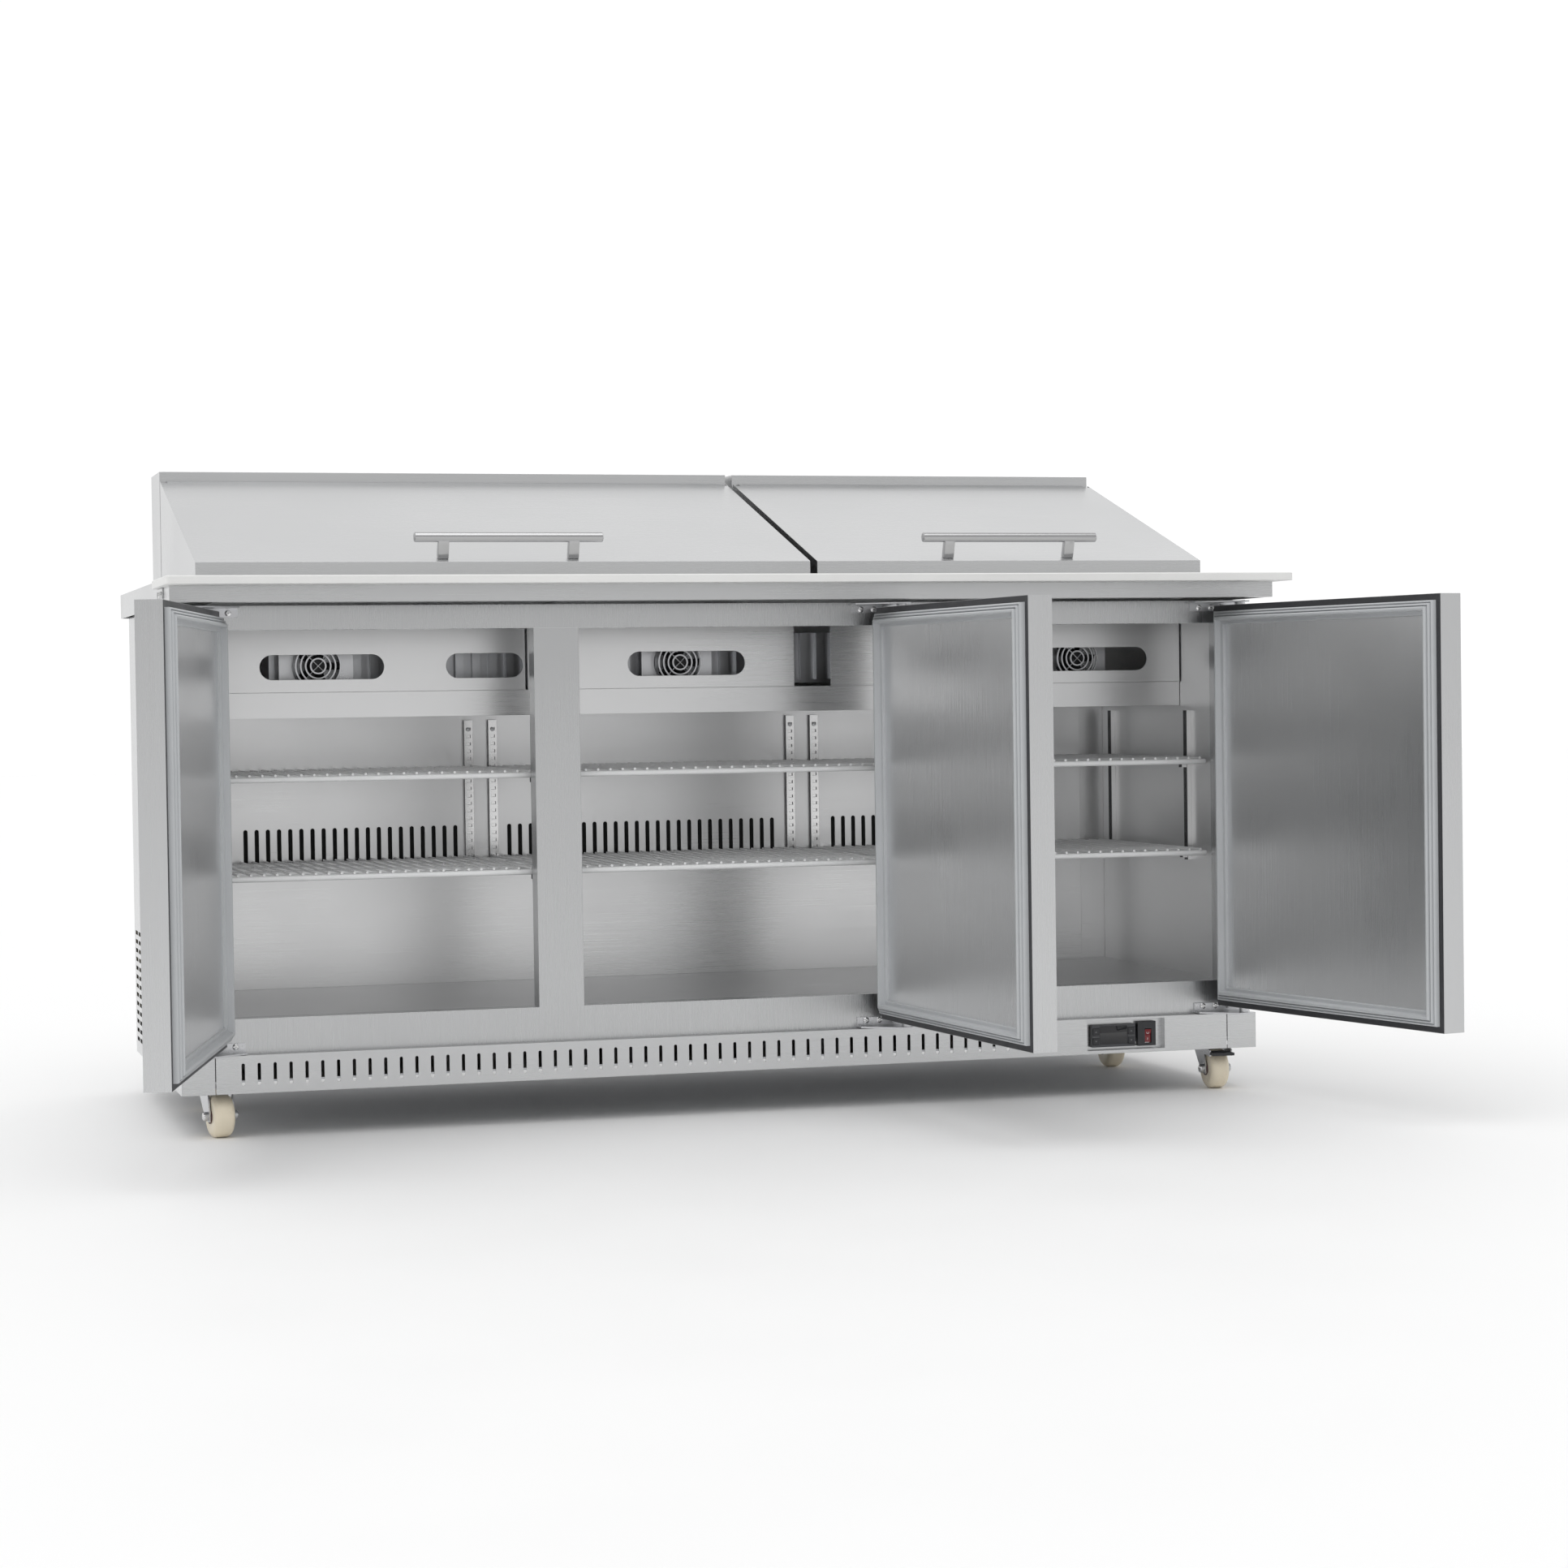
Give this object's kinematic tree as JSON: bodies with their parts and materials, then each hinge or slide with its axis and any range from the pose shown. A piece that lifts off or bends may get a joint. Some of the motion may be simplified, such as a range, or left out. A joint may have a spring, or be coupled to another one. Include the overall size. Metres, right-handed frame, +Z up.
{
  "type": "sandwich prep table",
  "caption": "Refrigerated stainless steel food prep counter with hinged doors, wire shelves, sloping lids over the pan well, a full-length cutting board and casters.",
  "frame": {"origin": "middle of the whole part on the floor, under its bounding box with the doors open as at rest", "axes": "+Z up, +X to the right along the counter, +Y from the front with the cutting board to the back"},
  "size_m": [1.9588, 1.3294, 1.0545],
  "materials": {
    "black_paint": "semi gloss",
    "black_plastic": "satin",
    "coil_aluminium": "finned",
    "foam": "foam",
    "galvanised_steel": "galvanised",
    "gasket_vinyl": "satin",
    "liner_stainless": "polished",
    "nylon_wheel": "satin",
    "red_rocker": "gloss",
    "shelf_standard": "bright",
    "stainless": "brushed",
    "white_board": "fine textured",
    "white_epoxy": "epoxy coated",
    "zinc_steel": "zinc plated"
  },
  "bodies": {
    "cabinet": {"base_pan": "galvanised_steel", "base_panels": "stainless", "board_brackets": "stainless", "caster_plates": "zinc_steel", "compressor": "black_paint", "condenser_coil": "coil_aluminium", "controller_case": "black_plastic", "cord_inlet": "black_plastic", "counter_top": "stainless", "cutting_board": "white_board", "evaporator_coil": "coil_aluminium", "evaporator_covers": "liner_stainless", "face_frame": "stainless", "fan_guards": "zinc_steel", "fan_motors": "black_paint", "foam_core": "foam", "hinge_brackets": "zinc_steel", "liner_panels": "liner_stainless", "lower_shelves": "white_epoxy", "rear_hoods": "stainless", "rear_panels": "galvanised_steel", "return_air_panel": "liner_stainless", "shelf_hangers": "shelf_standard", "side_panels": "stainless", "switch_housing": "black_plastic", "upper_shelves": "white_epoxy"},
    "door_left": {"door_left_shell": "stainless", "door_left_core": "foam", "door_left_liner": "liner_stainless", "door_left_gasket": "gasket_vinyl"},
    "door_middle": {"door_middle_shell": "stainless", "door_middle_core": "foam", "door_middle_liner": "liner_stainless", "door_middle_gasket": "gasket_vinyl"},
    "door_right": {"door_right_shell": "stainless", "door_right_core": "foam", "door_right_liner": "liner_stainless", "door_right_gasket": "gasket_vinyl"},
    "lid_left": {"lid_left_shell": "stainless", "lid_left_handle": "stainless"},
    "lid_right": {"lid_right_shell": "stainless", "lid_right_handle": "stainless"},
    "caster_front_left_swivel": {"caster_front_left_fork": "zinc_steel"},
    "caster_front_left_wheel": {"caster_front_left_wheel": "nylon_wheel"},
    "caster_front_right_swivel": {"caster_front_right_fork": "zinc_steel"},
    "caster_front_right_wheel": {"caster_front_right_wheel": "nylon_wheel"},
    "caster_front_right_brake": {"caster_front_right_pedal": "black_plastic"},
    "caster_rear_left_swivel": {"caster_rear_left_fork": "zinc_steel"},
    "caster_rear_left_wheel": {"caster_rear_left_wheel": "nylon_wheel"},
    "caster_rear_right_swivel": {"caster_rear_right_fork": "zinc_steel"},
    "caster_rear_right_wheel": {"caster_rear_right_wheel": "nylon_wheel"},
    "rocker": {"rocker": "red_rocker"},
    "button_left_lower": {"button_left_lower": "black_plastic"},
    "button_left_upper": {"button_left_upper": "black_plastic"},
    "button_right_lower": {"button_right_lower": "black_plastic"},
    "button_right_upper": {"button_right_upper": "black_plastic"},
    "evaporator_fan_left": {"evaporator_fan_left": "black_plastic"},
    "evaporator_fan_middle": {"evaporator_fan_middle": "black_plastic"},
    "evaporator_fan_right": {"evaporator_fan_right": "black_plastic"},
    "condenser_fan": {"condenser_fan": "black_plastic"}
  },
  "joints": [
    {"name": "door_left_hinge", "type": "hinge", "parent": "cabinet", "child": "door_left", "pos_m": [-0.83927, -0.11083, 0.471], "axis": [0, 0, 1], "range_deg": [-6, 104]},
    {"name": "door_middle_hinge", "type": "hinge", "parent": "cabinet", "child": "door_middle", "pos_m": [0.27674, -0.11083, 0.471], "axis": [0, 0, 1], "range_deg": [-94, 6]},
    {"name": "door_right_hinge", "type": "hinge", "parent": "cabinet", "child": "door_right", "pos_m": [0.86274, -0.11083, 0.471], "axis": [0, 0, 1], "range_deg": [-101.5, 8.5]},
    {"name": "lid_left_hinge", "type": "hinge", "parent": "cabinet", "child": "lid_left", "pos_m": [-0.33027, 0.51667, 1.02874], "axis": [-1, 0, 0], "range_deg": [0, 80]},
    {"name": "lid_right_hinge", "type": "hinge", "parent": "cabinet", "child": "lid_right", "pos_m": [0.51173, 0.51667, 1.02874], "axis": [-1, 0, 0], "range_deg": [0, 80]},
    {"name": "caster_front_left_swivel", "type": "hinge", "parent": "cabinet", "child": "caster_front_left_swivel", "pos_m": [-0.81327, -0.02533, 0.076], "axis": [0, 0, 1], "continuous": true},
    {"name": "caster_front_left_roll", "type": "hinge", "parent": "caster_front_left_swivel", "child": "caster_front_left_wheel", "pos_m": [-0.80892, -0.04995, 0.033], "axis": [0.9848, 0.1736, 0], "continuous": true},
    {"name": "caster_front_right_swivel", "type": "hinge", "parent": "cabinet", "child": "caster_front_right_swivel", "pos_m": [0.83674, -0.02533, 0.076], "axis": [0, 0, 1], "continuous": true},
    {"name": "caster_front_right_roll", "type": "hinge", "parent": "caster_front_right_swivel", "child": "caster_front_right_wheel", "pos_m": [0.83543, -0.05029, 0.033], "axis": [0.9986, -0.0523, 0], "continuous": true},
    {"name": "caster_front_right_brake", "type": "hinge", "parent": "caster_front_right_swivel", "child": "caster_front_right_brake", "pos_m": [0.83405, -0.07666, 0.0605], "axis": [0.9986, -0.0523, 0], "range_deg": [-15, 0]},
    {"name": "caster_rear_left_swivel", "type": "hinge", "parent": "cabinet", "child": "caster_rear_left_swivel", "pos_m": [-0.77526, 0.34268, 0.076], "axis": [0, 0, 1], "continuous": true},
    {"name": "caster_rear_left_roll", "type": "hinge", "parent": "caster_rear_left_swivel", "child": "caster_rear_left_wheel", "pos_m": [-0.77526, 0.31767, 0.033], "axis": [1, 0, 0], "continuous": true},
    {"name": "caster_rear_right_swivel", "type": "hinge", "parent": "cabinet", "child": "caster_rear_right_swivel", "pos_m": [0.79873, 0.34268, 0.076], "axis": [0, 0, 1], "continuous": true},
    {"name": "caster_rear_right_roll", "type": "hinge", "parent": "caster_rear_right_swivel", "child": "caster_rear_right_wheel", "pos_m": [0.79873, 0.31767, 0.033], "axis": [1, 0, 0], "continuous": true},
    {"name": "rocker_tilt", "type": "hinge", "parent": "cabinet", "child": "rocker", "pos_m": [0.70324, -0.07733, 0.095], "axis": [1, 0, 0], "range_deg": [0, 14]},
    {"name": "button_left_lower_press", "type": "slide", "parent": "cabinet", "child": "button_left_lower", "axis": [0, 1, 0], "range_m": [0, 0.001], "stiffness_N_per_m": 300},
    {"name": "button_left_upper_press", "type": "slide", "parent": "cabinet", "child": "button_left_upper", "axis": [0, 1, 0], "range_m": [0, 0.001], "stiffness_N_per_m": 300},
    {"name": "button_right_lower_press", "type": "slide", "parent": "cabinet", "child": "button_right_lower", "axis": [0, 1, 0], "range_m": [0, 0.001], "stiffness_N_per_m": 300},
    {"name": "button_right_upper_press", "type": "slide", "parent": "cabinet", "child": "button_right_upper", "axis": [0, 1, 0], "range_m": [0, 0.001], "stiffness_N_per_m": 300},
    {"name": "evaporator_fan_left_spin", "type": "hinge", "parent": "cabinet", "child": "evaporator_fan_left", "pos_m": [-0.61626, 0.17467, 0.72], "axis": [0, 1, 0], "continuous": true},
    {"name": "evaporator_fan_middle_spin", "type": "hinge", "parent": "cabinet", "child": "evaporator_fan_middle", "pos_m": [-0.01877, 0.17467, 0.72], "axis": [0, 1, 0], "continuous": true},
    {"name": "evaporator_fan_right_spin", "type": "hinge", "parent": "cabinet", "child": "evaporator_fan_right", "pos_m": [0.68173, 0.17467, 0.72], "axis": [0, 1, 0], "continuous": true},
    {"name": "condenser_fan_spin", "type": "hinge", "parent": "cabinet", "child": "condenser_fan", "pos_m": [0.02874, 0.56517, 0.194], "axis": [1, 0, 0], "continuous": true}
  ]
}
